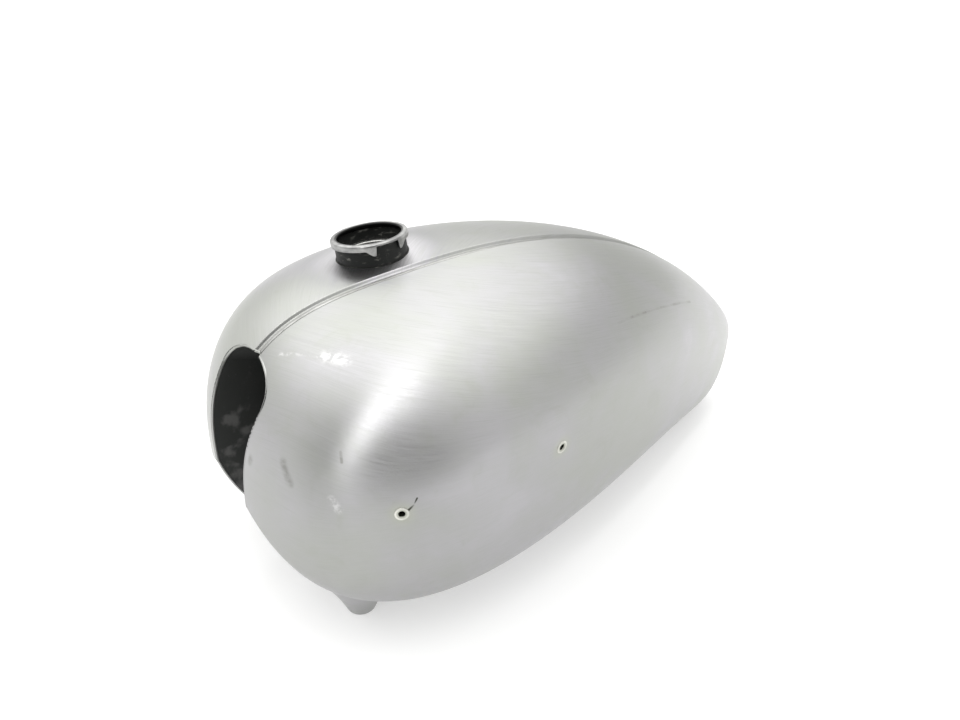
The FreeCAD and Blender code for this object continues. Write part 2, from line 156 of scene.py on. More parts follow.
def normals_of(surface, u, v):
    """Outward unit normals of surface(u, v), by small differences."""
    step = 2e-4
    u_low, u_high = np.clip(u - step, 0.0, 1.0), np.clip(u + step, 0.0, 1.0)
    v_low, v_high = np.clip(v - step, 0.0, 1.0), np.clip(v + step, 0.0, 1.0)
    along = surface(u_high, v) - surface(u_low, v)
    around = surface(u, v_high) - surface(u, v_low)
    normal = np.cross(around, along)
    size = np.linalg.norm(normal, axis=-1, keepdims=True)
    ends = np.zeros_like(normal)
    ends[..., 1] = np.where(u < 0.5, -1.0, 1.0)
    return np.where(size > 1e-6, normal / np.maximum(size, 1e-12), ends)


def smooth_step(value, low, high):
    """From 0 at low to 1 at high, level at both ends."""
    t = np.clip((value - low) / (high - low), 0.0, 1.0)
    return t * t * (3.0 - 2.0 * t)


def channel_depth(y):
    """Depth of the centre channel at each place along the tank."""
    deepening = smooth_step(y, *CHANNEL_DEEPENS)
    depth = CHANNEL_FRONT_DEPTH + deepening * (CHANNEL_REAR_DEPTH - CHANNEL_FRONT_DEPTH)
    return depth * (1.0 - smooth_step(y, *CHANNEL_ENDS))


def skin(u, v):
    """Points of the left half's outer surface with the centre channel pressed in."""
    points = plain_skin(u, v)
    sunk = 1.0 - smooth_step(np.abs(points[..., 0]), CHANNEL_FLOOR, CHANNEL_LIP)
    sunk = sunk * channel_depth(points[..., 1]) * (v < EVEN_LINE)
    return points - normals_of(plain_skin, u, v) * sunk[..., None]


def lengths_along(points):
    """Distance along a line of points, from its start."""
    steps = np.linalg.norm(np.diff(points, axis=0), axis=1)
    return np.concatenate([[0.0], np.cumsum(steps)])


def skin_grid():
    """(u, v) of every grid point: even rows along the flank, close columns beside the seam."""
    table = np.linspace(0.0, 1.0, 601)
    spine = lengths_along(plain_skin(table, np.full_like(table, EVEN_LINE)))
    u_rows = np.interp(np.linspace(0.0, spine[-1], ROWS), spine, table)
    seam = np.array(SEAM_COLUMNS)
    shares = np.linspace(0.0, 1.0, SIDE_COLUMNS + 1)[1:]
    grid = []
    for u in u_rows:
        ring = plain_skin(np.full_like(table, u), table)
        widest = int(np.argmax(ring[:, 0]))
        reach = min(1.0, 0.3 * ring[widest, 0] / seam[-1])
        if widest:
            near = np.interp(seam * reach, ring[:widest + 1, 0], table[:widest + 1])
        else:
            near = seam / seam[-1] * 0.1
        girth = lengths_along(ring)
        start = np.interp(near[-1], table, girth)
        if girth[-1] > 1e-6:
            side = np.interp(start + shares * (girth[-1] - start), girth, table)
        else:
            side = near[-1] + shares * (1.0 - near[-1])
        v_row = np.concatenate([near, side])
        grid.append(np.stack([np.full_like(v_row, u), v_row], axis=-1))
    return np.array(grid)


# ---------------------------------------------------------------- what is cut out of the skin
def tunnel_sizes(y, grow):
    """The tunnel's half width, spring height, rise and foot half width at each place along."""
    share = (y - TUNNEL_FRONT[0]) / (TUNNEL_REAR[0] - TUNNEL_FRONT[0])
    half, spring, rise, foot = (a + share * (b - a) for a, b in zip(TUNNEL_FRONT[1:], TUNNEL_REAR[1:]))
    return half + grow, spring, rise + grow, foot + grow


def outside_tunnel(points, grow):
    """About how far each point is outside the tunnel's surface."""
    x, y, z = np.abs(points[..., 0]), points[..., 1], points[..., 2]
    half, spring, rise, foot = tunnel_sizes(y, grow)
    arch = (np.hypot(x / half, (z - spring) / rise) - 1.0) * half
    wall = x - foot - (half - foot) * (z - TUNNEL_FOOT_LEVEL) / (spring - TUNNEL_FOOT_LEVEL)
    return np.where(z > spring, arch, wall)


def outside_rod(points, centre, axis, radius, reach):
    """How far each point is outside a rod of that radius, reaching that far each way."""
    offset = points - centre
    along = offset @ axis
    away = np.linalg.norm(offset - along[..., None] * axis, axis=-1)
    return np.where(np.abs(along) < reach, away - radius, radius)


def mount_line(name):
    """A mount's place, in millimetres, and its axis."""
    mount = MOUNTS[name]
    return np.array(mount["pos_m"]) / MM, np.array(mount["axis"], float)


def keep_skin(side, cuts):
    """Function that is positive where that side's skin stays, for points given on the left."""
    mirror = np.array([side, 1.0, 1.0])

    def keep(points):
        value = outside_tunnel(points, SHEET)
        for centre, axis, radius, reach in cuts:
            value = np.minimum(value, outside_rod(points * mirror, centre, axis, radius, reach))
        return value
    return keep


# ---------------------------------------------------------------- trimming a grid
def trimmed(grid, surface, keep):
    """(u, v) points, faces and the set of points on the cut, for the part where keep > 0."""
    rows, columns = grid.shape[:2]
    points = grid.reshape(-1, 2).copy()
    index = np.arange(rows * columns).reshape(rows, columns)
    index[-1, :] = index[-1, 0]
    inside = keep(surface(points[:, 0], points[:, 1])) > 0
    pairs = np.concatenate([
        np.stack([index[:-1], index[1:]], -1).reshape(-1, 2),
        np.stack([index[:, :-1], index[:, 1:]], -1).reshape(-1, 2)])
    crossing = pairs[inside[pairs[:, 0]] != inside[pairs[:, 1]]]
    turned = ~inside[crossing[:, 0]]
    crossing[turned] = crossing[turned][:, ::-1]
    low, high = np.zeros(len(crossing)), np.ones(len(crossing))
    start, stop = points[crossing[:, 0]], points[crossing[:, 1]]
    for _ in range(26):
        middle = (low + high) / 2.0
        at = start + (stop - start) * middle[:, None]
        out = keep(surface(at[:, 0], at[:, 1])) <= 0
        high, low = np.where(out, middle, high), np.where(out, low, middle)
    share = (low + high) / 2.0
    at = start + (stop - start) * share[:, None]

    state = np.where(inside, 1, -1)
    for number in np.argsort(np.minimum(share, 1.0 - share)):
        if SNAP_SHARE < share[number] < 1.0 - SNAP_SHARE:
            break
        nearer = crossing[number][0 if share[number] < 0.5 else 1]
        if state[nearer] != 0:
            state[nearer] = 0
            points[nearer] = at[number]
    extra, added = {}, []
    for (first, second), place in zip(crossing, at):
        if state[first] == 1 and state[second] == -1:
            extra[first, second] = extra[second, first] = len(points) + len(added)
            added.append(place)
    faces = []
    for row in range(rows - 1):
        for column in range(columns - 1):
            corners = [index[row, column], index[row, column + 1],
                       index[row + 1, column + 1], index[row + 1, column]]
            corners = [c for k, c in enumerate(corners) if c != corners[k - 1]]
            if not any(state[c] == 1 for c in corners):
                continue
            face = []
            for k, corner in enumerate(corners):
                following = corners[(k + 1) % len(corners)]
                if state[corner] >= 0:
                    face.append(int(corner))
                if (corner, following) in extra:
                    face.append(extra[corner, following])
            if len(face) > 2:
                faces.append(face)
    if added:
        points = np.concatenate([points, np.array(added)])
    on_cut = set(np.flatnonzero(state == 0).tolist()) | set(extra.values())
    used = sorted({corner for face in faces for corner in face})
    renumber = {old: new for new, old in enumerate(used)}
    faces = [[renumber[corner] for corner in face] for face in faces]
    return points[used], faces, {renumber[old] for old in on_cut if old in renumber}


def open_edges(faces):
    """Directed edges that only one face uses."""
    directed = {}
    for face in faces:
        for k, corner in enumerate(face):
            directed[corner, face[(k + 1) % len(face)]] = True
    return [edge for edge in directed if (edge[1], edge[0]) not in directed]


def longest_chain(edges):
    """The longest open or closed run of point numbers through directed edges."""
    following = dict(edges)
    starts = [a for a in following if a not in set(following.values())] or list(following)[:1]
    chains = []
    for start in starts:
        chain = [start]
        while chain[-1] in following and following[chain[-1]] != start:
            chain.append(following[chain[-1]])
        chains.append(chain)
    return max(chains, key=len)


# ---------------------------------------------------------------- meshes
def add_mesh(name, vertices, faces, material, brush=None, corner_normals=None):
    """Smooth-shaded mesh riding on the tank. Vertices in millimetres, brush as (u, v) per vertex."""
    mesh = bpy.data.meshes.new(name)
    mesh.from_pydata([tuple(p) for p in np.asarray(vertices) * MM], [], faces)
    mesh.polygons.foreach_set("use_smooth", [True] * len(faces))
    if brush is not None:
        corners = np.empty(len(mesh.loops), int)
        mesh.loops.foreach_get("vertex_index", corners)
        layer = mesh.uv_layers.new(name="brush")
        layer.data.foreach_set("uv", np.asarray(brush)[corners].ravel())
    mesh.validate()
    if corner_normals is not None:
        mesh.normals_split_custom_set(corner_normals)
    mesh.materials.append(material)
    piece = bpy.data.objects.new(name, mesh)
    bpy.context.scene.collection.objects.link(piece)
    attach(piece, ROOT)
    return piece


def stand_for(piece, slot, *nodes):
    """Show a piece in place of those CAD nodes, which it hides; the slot given is not used."""
    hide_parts(*nodes)
    return piece


def brush_map(uv):
    """Brushing coordinates: strokes run lengthwise behind, and slant down over the front shoulder."""
    u = np.linspace(0.0, 1.0, 401)
    slant = STROKE_SLANT * (1.0 - smooth_step(u, 0.42, 0.70))
    slant += NOSE_SLANT * (1.0 - smooth_step(u, 0.20, 0.34))
    drift = np.interp(uv[:, 0], u, np.cumsum(slant) * (u[1] - u[0]))
    across = uv[:, 1] - drift * (1.0 - smooth_step(uv[:, 1], 0.25, 0.80))
    return np.stack([uv[:, 0] * BRUSH_LENGTH, across * BRUSH_GIRTH], axis=1)


def add_shell(name, side, cuts, material):
    """One pressed half of the tank: outer and inner skins joined by their edges."""
    uv, faces, on_cut = trimmed(skin_grid(), skin, keep_skin(side, cuts))
    mirror = np.array([side, 1.0, 1.0])
    normals = normals_of(skin, uv[:, 0], uv[:, 1]) * mirror
    outer = skin(uv[:, 0], uv[:, 1]) * mirror
    inner = outer - normals * SHEET
    if side < 0:
        faces = [face[::-1] for face in faces]
    count = len(outer)
    walls = [[b, a, a + count, b + count] for a, b in open_edges(faces)]
    inside = [[corner + count for corner in face[::-1]] for face in faces]
    vertices = np.concatenate([outer, inner])
    corner_normals = [normals[corner] for face in faces for corner in face]
    corner_normals += [-normals[corner - count] for face in inside for corner in face]
    for wall in walls:
        across = np.cross(vertices[wall[1]] - vertices[wall[0]], vertices[wall[3]] - vertices[wall[0]])
        across /= max(np.linalg.norm(across), 1e-9)
        corner_normals += [across] * 4
    brush = brush_map(np.concatenate([uv, uv]))
    piece = add_mesh(name, vertices, faces + inside + walls, material, brush, corner_normals)
    cut_edges = [(a, b) for a, b in open_edges(faces) if a in on_cut and b in on_cut]
    chain = longest_chain(cut_edges)
    tree = BVHTree.FromPolygons([Vector(p) for p in outer], faces)
    return piece, outer[chain], normals[chain], tree


def swept(name, path, sides, radius, material, closed, lift=None, flatten=1.0, ripple=0.0, pitch=3.0):
    """Round or flattened bead along a path; lift gives the direction it is flattened in."""
    path = np.asarray(path, float)
    count = len(path)
    ahead = np.roll(path, -1, axis=0) - np.roll(path, 1, axis=0)
    if not closed:
        ahead[0], ahead[-1] = path[1] - path[0], path[-1] - path[-2]
    ahead /= np.linalg.norm(ahead, axis=1, keepdims=True)
    up = np.broadcast_to(np.array([0.0, 0.0, 1.0]) if lift is None else lift, path.shape)
    up = up - (up * ahead).sum(1, keepdims=True) * ahead
    up = up / np.maximum(np.linalg.norm(up, axis=1, keepdims=True), 1e-9)
    across = np.cross(ahead, up)
    along = lengths_along(path)
    size = radius * (1.0 + ripple * np.sin(2.0 * math.pi * along / pitch))
    vertices, faces, brush = [], [], []
    for k in range(count):
        for turn in range(sides):
            angle = 2.0 * math.pi * turn / sides
            offset = across[k] * math.cos(angle) + up[k] * math.sin(angle) * flatten
            vertices.append(path[k] + offset * size[k])
            brush.append((along[k] * MM, angle * radius * MM))
    last = count if closed else count - 1
    for k in range(last):
        for turn in range(sides):
            a, b = k * sides + turn, k * sides + (turn + 1) % sides
            after = ((k + 1) % count) * sides
            faces.append([a, b, after + (turn + 1) % sides, after + turn])
    if not closed:
        faces.append(list(range(sides))[::-1])
        faces.append([(count - 1) * sides + turn for turn in range(sides)])
    return add_mesh(name, vertices, faces, material, brush)


def evened(path, step, closed):
    """The path's points again at an even spacing."""
    path = np.asarray(path, float)
    if closed:
        path = np.concatenate([path, path[:1]])
    along = lengths_along(path)
    count = max(8, int(round(along[-1] / step)))
    places = np.linspace(0.0, along[-1], count + 1)
    even = np.stack([np.interp(places, along, path[:, k]) for k in range(3)], axis=1)
    return even[:-1] if closed else even


def softened(path, closed, times=3):
    """The path with each point moved towards its neighbours' middle."""
    path = np.array(path, float)
    for _ in range(times):
        middle = (np.roll(path, 1, axis=0) + np.roll(path, -1, axis=0)) / 2.0
        if not closed:
            middle[0], middle[-1] = path[0], path[-1]
        path = (path + middle) / 2.0
    return path


# ---------------------------------------------------------------- turned pieces
def rounded(corners, steps=4):
    """Closed (radius, height) outline, with each (radius, height, fillet) corner rounded."""
    points = np.array([corner[:2] for corner in corners], float)
    outline = []
    for k, corner in enumerate(corners):
        fillet = corner[2]
        if fillet == 0.0:
            outline.append(points[k])
            continue
        ends = []
        for neighbour in (points[k - 1], points[(k + 1) % len(points)]):
            leg = neighbour - points[k]
            size = np.linalg.norm(leg)
            ends.append(points[k] + leg / size * min(fillet, 0.49 * size))
        for t in np.linspace(0.0, 1.0, steps + 1):
            outline.append((1 - t) ** 2 * ends[0] + 2 * t * (1 - t) * points[k] + t * t * ends[1])
    return np.array(outline)


def mount_matrix(name):
    """Matrix of a mount's axis: Z out of its mouth, X as near the model's X as it goes."""
    centre, axis = mount_line(name)
    x = np.array([1.0, 0.0, 0.0])
    if abs(axis @ x) > 0.8:
        x = np.array([0.0, 1.0, 0.0])
    x = x - (x @ axis) * axis
    x /= np.linalg.norm(x)
    return centre, np.stack([x, np.cross(axis, x), axis], axis=1)


def turned(name, outline_at, place, material, segments=128):
    """Solid of revolution about a mount's axis; outline_at(angle) is its closed outline there."""
    centre, turn = place
    vertices, faces, brush = [], [], []
    for k in range(segments):
        angle = 2.0 * math.pi * k / segments
        outline = outline_at(angle)
        ring = np.stack([outline[:, 0] * math.cos(angle), outline[:, 0] * math.sin(angle),
                         outline[:, 1]], axis=1)
        vertices.extend(centre + ring @ turn.T)
        along = lengths_along(outline)
        brush.extend((angle * r * MM, s * MM) for r, s in zip(outline[:, 0], along))
    count = len(outline)
    for k in range(segments):
        here, after = k * count, ((k + 1) % segments) * count
        for p in range(count):
            q = (p + 1) % count
            faces.append([here + p, after + p, after + q, here + q])
    piece = add_mesh(name, vertices, faces, material, brush)
    piece.modifiers.new("flats", "WEIGHTED_NORMAL").keep_sharp = True
    return piece


def thread_wall(radius, bottom, top, pitch):
    """Corners of a threaded wall, going up: crests at the radius, roots a little outside it."""
    corners = []
    height = bottom + pitch
    while height + pitch < top:
        corners.append((radius, height, 0.0))
        corners.append((radius + 0.45 * pitch, height + 0.5 * pitch, 0.0))
        height += pitch
    return corners


# ---------------------------------------------------------------- material nodes
class Nodes:
    """Short calls for the nodes of a material or of the surround."""

    def __init__(self, tree, coordinate):
        self.tree = tree
        self.place = self.add("ShaderNodeTexCoord").outputs[coordinate]

    def add(self, kind, **settings):
        node = self.tree.nodes.new(kind)
        for name, value in settings.items():
            setattr(node, name, value)
        return node

    def feed(self, socket, value):
        if isinstance(value, bpy.types.NodeSocket):
            self.tree.links.new(value, socket)
        else:
            socket.default_value = value

    def brush(self, along, around):
        """The brushing directions, as frequencies per metre."""
        source = self.add("ShaderNodeUVMap", uv_map="brush").outputs[0]
        return self.scaled(source, (along, around, 1.0))

    def scaled(self, vector, factors):
        node = self.add("ShaderNodeVectorMath", operation="MULTIPLY")
        self.feed(node.inputs[0], vector)
        node.inputs[1].default_value = factors
        return node.outputs[0]

    def noise(self, vector, scale, detail=3.0, roughness=0.55, distortion=0.0):
        node = self.add("ShaderNodeTexNoise")
        self.feed(node.inputs["Vector"], vector)
        node.inputs["Scale"].default_value = scale
        node.inputs["Detail"].default_value = detail
        node.inputs["Roughness"].default_value = roughness
        node.inputs["Distortion"].default_value = distortion
        return node.outputs[0]

    def span(self, value, low, high, to_low=0.0, to_high=1.0):
        """The value's span from low to high, mapped smoothly to another span and held there."""
        node = self.add("ShaderNodeMapRange", interpolation_type="SMOOTHSTEP")
        self.feed(node.inputs["Value"], value)
        for name, number in (("From Min", low), ("From Max", high), ("To Min", to_low), ("To Max", to_high)):
            node.inputs[name].default_value = number
        return node.outputs[0]

    def maths(self, operation, first, second):
        node = self.add("ShaderNodeMath", operation=operation)
        self.feed(node.inputs[0], first)
        self.feed(node.inputs[1], second)
        return node.outputs[0]

    def mixed(self, factor, first, second):
        node = self.add("ShaderNodeMix", data_type="RGBA", blend_type="MIX")
        self.feed(node.inputs[0], factor)
        for socket, value in ((node.inputs[6], first), (node.inputs[7], second)):
            self.feed(socket, value if isinstance(value, bpy.types.NodeSocket) else (*value, 1.0))
        return node.outputs[2]

    def facing(self, direction, inner, outer):
        """1 where the place points within inner degrees of a direction, fading to 0 at outer."""
        node = self.add("ShaderNodeVectorMath", operation="DOT_PRODUCT")
        self.feed(node.inputs[0], self.place)
        node.inputs[1].default_value = direction
        return self.span(node.outputs["Value"], math.cos(math.radians(outer)),
                         math.cos(math.radians(inner)))

    def near_point(self, point, inner, outer):
        """1 within inner millimetres of a point, fading to 0 at outer."""
        node = self.add("ShaderNodeVectorMath", operation="DISTANCE")
        self.feed(node.inputs[0], self.place)
        node.inputs[1].default_value = Vector(point) * MM
        return self.span(node.outputs["Value"], inner * MM, outer * MM, 1.0, 0.0)

    def near_line(self, start, stop, inner, outer):
        """1 within inner millimetres of a straight line between two points, fading at outer."""
        start, stop = Vector(start) * MM, Vector(stop) * MM
        leg = stop - start
        offset = self.add("ShaderNodeVectorMath", operation="SUBTRACT")
        self.feed(offset.inputs[0], self.place)
        offset.inputs[1].default_value = start
        dot = self.add("ShaderNodeVectorMath", operation="DOT_PRODUCT")
        self.feed(dot.inputs[0], offset.outputs[0])
        dot.inputs[1].default_value = leg / leg.length_squared
        share = self.add("ShaderNodeClamp")
        self.feed(share.inputs[0], dot.outputs["Value"])
        along = self.add("ShaderNodeVectorMath", operation="SCALE")
        along.inputs[0].default_value = leg
        self.feed(along.inputs["Scale"], share.outputs[0])
        apart = self.add("ShaderNodeVectorMath", operation="DISTANCE")
        self.feed(apart.inputs[0], offset.outputs[0])
        self.feed(apart.inputs[1], along.outputs[0])
        return self.span(apart.outputs["Value"], inner * MM, outer * MM, 1.0, 0.0)


class Look(Nodes):
    """One Principled material."""

    def __init__(self, name, **constants):
        self.material = bpy.data.materials.new(name)
        self.material.use_nodes = True
        super().__init__(self.material.node_tree, "Object")
        self.shader = self.tree.nodes["Principled BSDF"]
        for socket, value in constants.items():
            self.shader.inputs[socket.replace("_", " ")].default_value = value

    def finish(self, colour, roughness, height=None, strength=0.2, depth=0.05, tangent=False):
        self.feed(self.shader.inputs["Base Color"], colour)
        self.feed(self.shader.inputs["Roughness"], roughness)
        if height is not None:
            bump = self.add("ShaderNodeBump")
            bump.inputs["Strength"].default_value = strength
            bump.inputs["Distance"].default_value = depth * MM
            self.feed(bump.inputs["Height"], height)
            self.feed(self.shader.inputs["Normal"], bump.outputs[0])
        if tangent:
            direction = self.add("ShaderNodeTangent", direction_type="UV_MAP", uv_map="brush")
            self.feed(self.shader.inputs["Tangent"], direction.outputs[0])
        return self.material


# marks on the sheet, in millimetres: where each starts, where it stops, how wide it fades
NECK_AXIS = ((-39.5, -117.2, 215.7), (-47.5, -120.0, 265.0))
BUSH_FACES = [tuple(mount_line(f"{side}_{end}_badge_screw")[0]) for side in ("left", "right")
              for end in ("front", "rear")]
SCRATCHES = (((143.5, -197.0, 153.0), (145.5, -193.0, 157.5), 1.3),
             ((145.5, -193.0, 157.5), (145.0, -190.0, 162.5), 0.9))
# points of a faint, broken dark line drawn over the rear flank; the mesh is not creased there
DARK_LINE = ((106.0, 16.0, 215.5), (100.0, 37.0, 212.0), (94.0, 57.0, 207.0), (86.0, 83.0, 200.0),
          (74.0, 120.0, 188.0), (65.5, 143.0, 178.5))
SMUDGES = (((73.0, -254.0, 172.0), (82.0, -254.0, 160.0), 5.0),
           ((43.0, -267.0, 161.0), (42.0, -267.0, 156.0), 4.0),
           ((105.0, -225.0, 190.0), (108.0, -226.0, 184.0), 1.6))
RUBBED = (((20.0, -230.0, 224.0), (64.0, -199.0, 232.0), 2.4),
          ((52.0, -207.0, 231.0), (64.0, -199.0, 232.0), 8.0),
          ((111.0, -237.0, 158.0), (116.0, -235.0, 152.0), 5.0))


def skin_look():
    """Bare sheet steel brushed lengthwise, with rubbed patches, smudges and a few marks; round the filler
    neck, painted light brightens the skin and painted shade darkens the tube's foot.
    """
    look = Look("skin_steel", Metallic=1.0, Anisotropic=0.86, Anisotropic_Rotation=0.25)
    fine = look.noise(look.brush(60.0, 5200.0), 1.0, 4.0)
    broad = look.noise(look.brush(22.0, 700.0), 1.0, 5.0, 0.65)
    cloud = look.noise(look.place, 11.0, 4.0, 0.6, 0.4)
    smear = look.noise(look.scaled(look.place, (16.0, 5.0, 16.0)), 1.0, 5.0, 0.65, 0.8)
    ragged = look.noise(look.place, 170.0, 5.0, 0.7)
    strokes = look.noise(look.brush(34.0, 1500.0), 1.0, 5.0, 0.6)
    film = look.noise(look.place, 38.0, 5.0, 0.62, 0.6)
    colour = look.mixed(look.span(cloud, 0.3, 0.7), (0.398, 0.408, 0.380), (0.430, 0.424, 0.442))
    colour = look.mixed(look.span(broad, 0.35, 0.7, 0.0, 0.4), colour, (0.46, 0.46, 0.46))
    colour = look.mixed(look.span(fine, 0.5, 0.75, 0.0, 0.3), colour, (0.33, 0.33, 0.33))
    colour = look.mixed(look.span(smear, 0.62, 0.8, 0.0, 0.45), colour, (0.36, 0.36, 0.325))
    colour = look.mixed(look.span(strokes, 0.45, 0.72, 0.0, 0.45), colour, (0.33, 0.335, 0.32))
    colour = look.mixed(look.span(film, 0.55, 0.75, 0.0, 0.3), colour, (0.35, 0.36, 0.315))
    for centre in BUSH_FACES:
        colour = look.mixed(look.maths("MULTIPLY", look.near_point(centre, 4.0, 14.0), 0.3), colour,
                            (0.44, 0.47, 0.32))
    ground = look.near_line(*NECK_AXIS, 36.0, 78.0)
    tint = look.maths("MULTIPLY", ground, look.span(strokes, 0.42, 0.66, 0.1, 0.75))
    colour = look.mixed(tint, colour, (0.375, 0.365, 0.425))
    # painted light: the skin round the neck is brightened, partly for its sanded metal and partly to cancel
    # the neck's dark reflection
    sanded_and_painted_light = look.maths("MULTIPLY", look.near_line(*NECK_AXIS, 31.0, 58.0),
                          look.span(strokes, 0.36, 0.6, 0.55, 1.0))
    colour = look.mixed(sanded_and_painted_light, colour, (0.62, 0.61, 0.63))
    # darker ring at the tube's foot: partly stain, partly painted shade where the neck meets the skin
    ring = look.maths("MULTIPLY", look.near_line(*NECK_AXIS, 29.0, 33.5),
                      look.span(ragged, 0.5, 0.7, 0.0, 0.4))
    colour = look.mixed(ring, colour, (0.20, 0.20, 0.19))
    for start, stop, width in SMUDGES:
        smudge = look.maths("MULTIPLY", look.near_line(start, stop, 0.5, width),
                            look.span(ragged, 0.3, 0.65, 0.15, 0.6))
        colour = look.mixed(smudge, colour, (0.20, 0.20, 0.18))
    for start, stop, width in SCRATCHES:
        scratch = look.near_line(start, stop, 0.4 * width, width)
        colour = look.mixed(scratch, colour, (0.07, 0.07, 0.06))
    for start, stop in zip(DARK_LINE, DARK_LINE[1:]):
        dark_line = look.maths("MULTIPLY", look.near_line(start, stop, 0.7, 1.5),
                            look.span(film, 0.42, 0.6, 0.12, 0.6))
        colour = look.mixed(dark_line, colour, (0.27, 0.265, 0.25))
    roughness = look.span(broad, 0.25, 0.75, 0.33, 0.43)
    for start, stop, width in RUBBED:
        rub = look.maths("MULTIPLY", look.near_line(start, stop, 0.4, width), look.span(ragged, 0.42, 0.6))
        colour = look.mixed(rub, colour, (0.60, 0.60, 0.60))
    rub = look.span(cloud, 0.55, 0.75, 0.0, 0.06)
    roughness = look.maths("SUBTRACT", roughness, rub)
    roughness = look.maths("ADD", roughness, look.maths("MULTIPLY", ground, 0.05))
    height = look.maths("ADD", fine, look.maths("MULTIPLY", strokes, 1.6))
    return look.finish(colour, roughness, height, 0.35, 0.05, tangent=True)


def rim_look():
    """Worn bright steel, black where it faces into the neck."""
    look = Look("rim_steel", Metallic=1.0, Anisotropic=0.3)
    fine = look.noise(look.brush(50.0, 4000.0), 1.0, 3.0)
    cloud = look.noise(look.place, 60.0, 4.0)
    colour = look.mixed(look.span(cloud, 0.35, 0.7), (0.22, 0.22, 0.22), (0.54, 0.54, 0.53))
    colour = look.mixed(look.near_line(*NECK_AXIS, 27.3, 28.3), colour, (0.02, 0.02, 0.02))
    roughness = look.span(fine, 0.3, 0.7, 0.26, 0.42)
    return look.finish(colour, roughness, fine, 0.3, 0.03, tangent=True)


def neck_look():
    """Black paint with worn spots."""
    look = Look("neck_black", Metallic=0.0, Specular_IOR_Level=0.22)
    scuffs = look.noise(look.brush(90.0, 260.0), 1.0, 6.0, 0.7, 0.6)
    grain = look.noise(look.place, 900.0, 3.0)
    worn = look.span(scuffs, 0.55, 0.68)
    colour = look.mixed(worn, (0.014, 0.015, 0.014), (0.15, 0.15, 0.135))
    roughness = look.span(scuffs, 0.3, 0.75, 0.38, 0.62)
    return look.finish(colour, roughness, grain, 0.25, 0.05)


def tunnel_look():
    """Near-black inner sheet with a few paler patches."""
    look = Look("tunnel_dark", Metallic=0.35, Specular_IOR_Level=0.4)
    patches = look.noise(look.scaled(look.place, (33.0, 33.0, 33.0)), 1.0, 4.0, 0.55)
    grain = look.noise(look.place, 420.0, 4.0)
    colour = look.mixed(look.span(patches, 0.54, 0.64), (0.034, 0.036, 0.034), (0.115, 0.115, 0.112))
    colour = look.mixed(look.span(grain, 0.6, 0.8, 0.0, 0.4), colour, (0.10, 0.10, 0.10))
    roughness = look.span(patches, 0.3, 0.7, 0.5, 0.7)
    return look.finish(colour, roughness, grain, 0.3, 0.1)


def weld_look():
    """Dull weld metal."""
    look = Look("weld_bead", Metallic=1.0)
    beads = look.noise(look.place, 260.0, 4.0, 0.6, 0.4)
    tint = look.noise(look.place, 30.0, 3.0)
    colour = look.mixed(look.span(tint, 0.3, 0.7), (0.30, 0.30, 0.29), (0.44, 0.44, 0.43))
    roughness = look.span(beads, 0.3, 0.7, 0.36, 0.55)
    return look.finish(colour, roughness, beads, 0.5, 0.15)


def bush_look():
    """Pale turned steel, with a darker ring of painted shade round each badge screw."""
    look = Look("bush_steel", Metallic=1.0, Anisotropic=0.2)
    rings = look.noise(look.brush(20.0, 5000.0), 1.0, 3.0)
    cloud = look.noise(look.place, 140.0, 4.0)
    colour = look.mixed(look.span(cloud, 0.35, 0.7), (0.52, 0.52, 0.48), (0.66, 0.66, 0.61))
    # painted shade: a darker ring round each screw hole stands in for the shade of a step
    for centre in BUSH_FACES:
        colour = look.mixed(look.near_point(centre, 5.6, 6.1), colour, (0.40, 0.41, 0.36))
    roughness = look.span(rings, 0.3, 0.7, 0.3, 0.46)
    return look.finish(colour, roughness, rings, 0.3, 0.03, tangent=True)


def plain_steel_look(name, dark, bright):
    """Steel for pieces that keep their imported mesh, with no brushing direction."""
    look = Look(name, Metallic=1.0)
    cloud = look.noise(look.place, 35.0, 5.0, 0.6, 0.3)
    scratches = look.noise(look.scaled(look.place, (1800.0, 60.0, 1800.0)), 1.0, 3.0)
    colour = look.mixed(look.span(cloud, 0.3, 0.7), dark, bright)
    roughness = look.span(scratches, 0.3, 0.7, 0.34, 0.5)
    return look.finish(colour, roughness, scratches, 0.25, 0.04)


SKIN = skin_look()
RIM = rim_look()
NECK = neck_look()
TUNNEL = tunnel_look()
WELD = weld_look()
BUSH = bush_look()
LEDGE = plain_steel_look("ledge_steel", (0.50, 0.50, 0.49), (0.70, 0.70, 0.68))
FIXING = plain_steel_look("fixing_steel", (0.30, 0.30, 0.29), (0.44, 0.44, 0.42))

# ---------------------------------------------------------------- shells, tunnel and welds
NECK_SKIN_HOLE = 28.0
BUSH_SKIN_HOLE = 4.2
TAP_SKIN_HOLE = 8.5
SIDES = {"left": 1.0, "right": -1.0}
BADGE_ENDS = ("front", "rear")

shells = {}
for side, sign in SIDES.items():
    cuts = [(*mount_line(f"{side}_{end}_badge_screw"), BUSH_SKIN_HOLE, 20.0) for end in BADGE_ENDS]
    cuts.append((*mount_line(f"{side}_fuel_tap"), TAP_SKIN_HOLE, 30.0))
    if side == "right":
        cuts.append((*mount_line("filler_mouth"), NECK_SKIN_HOLE, 60.0))
    shells[side] = add_shell(f"{side}_half_shell", sign, cuts, SKIN)
    stand_for(shells[side][0], "skin_steel", f"{side}_shell")

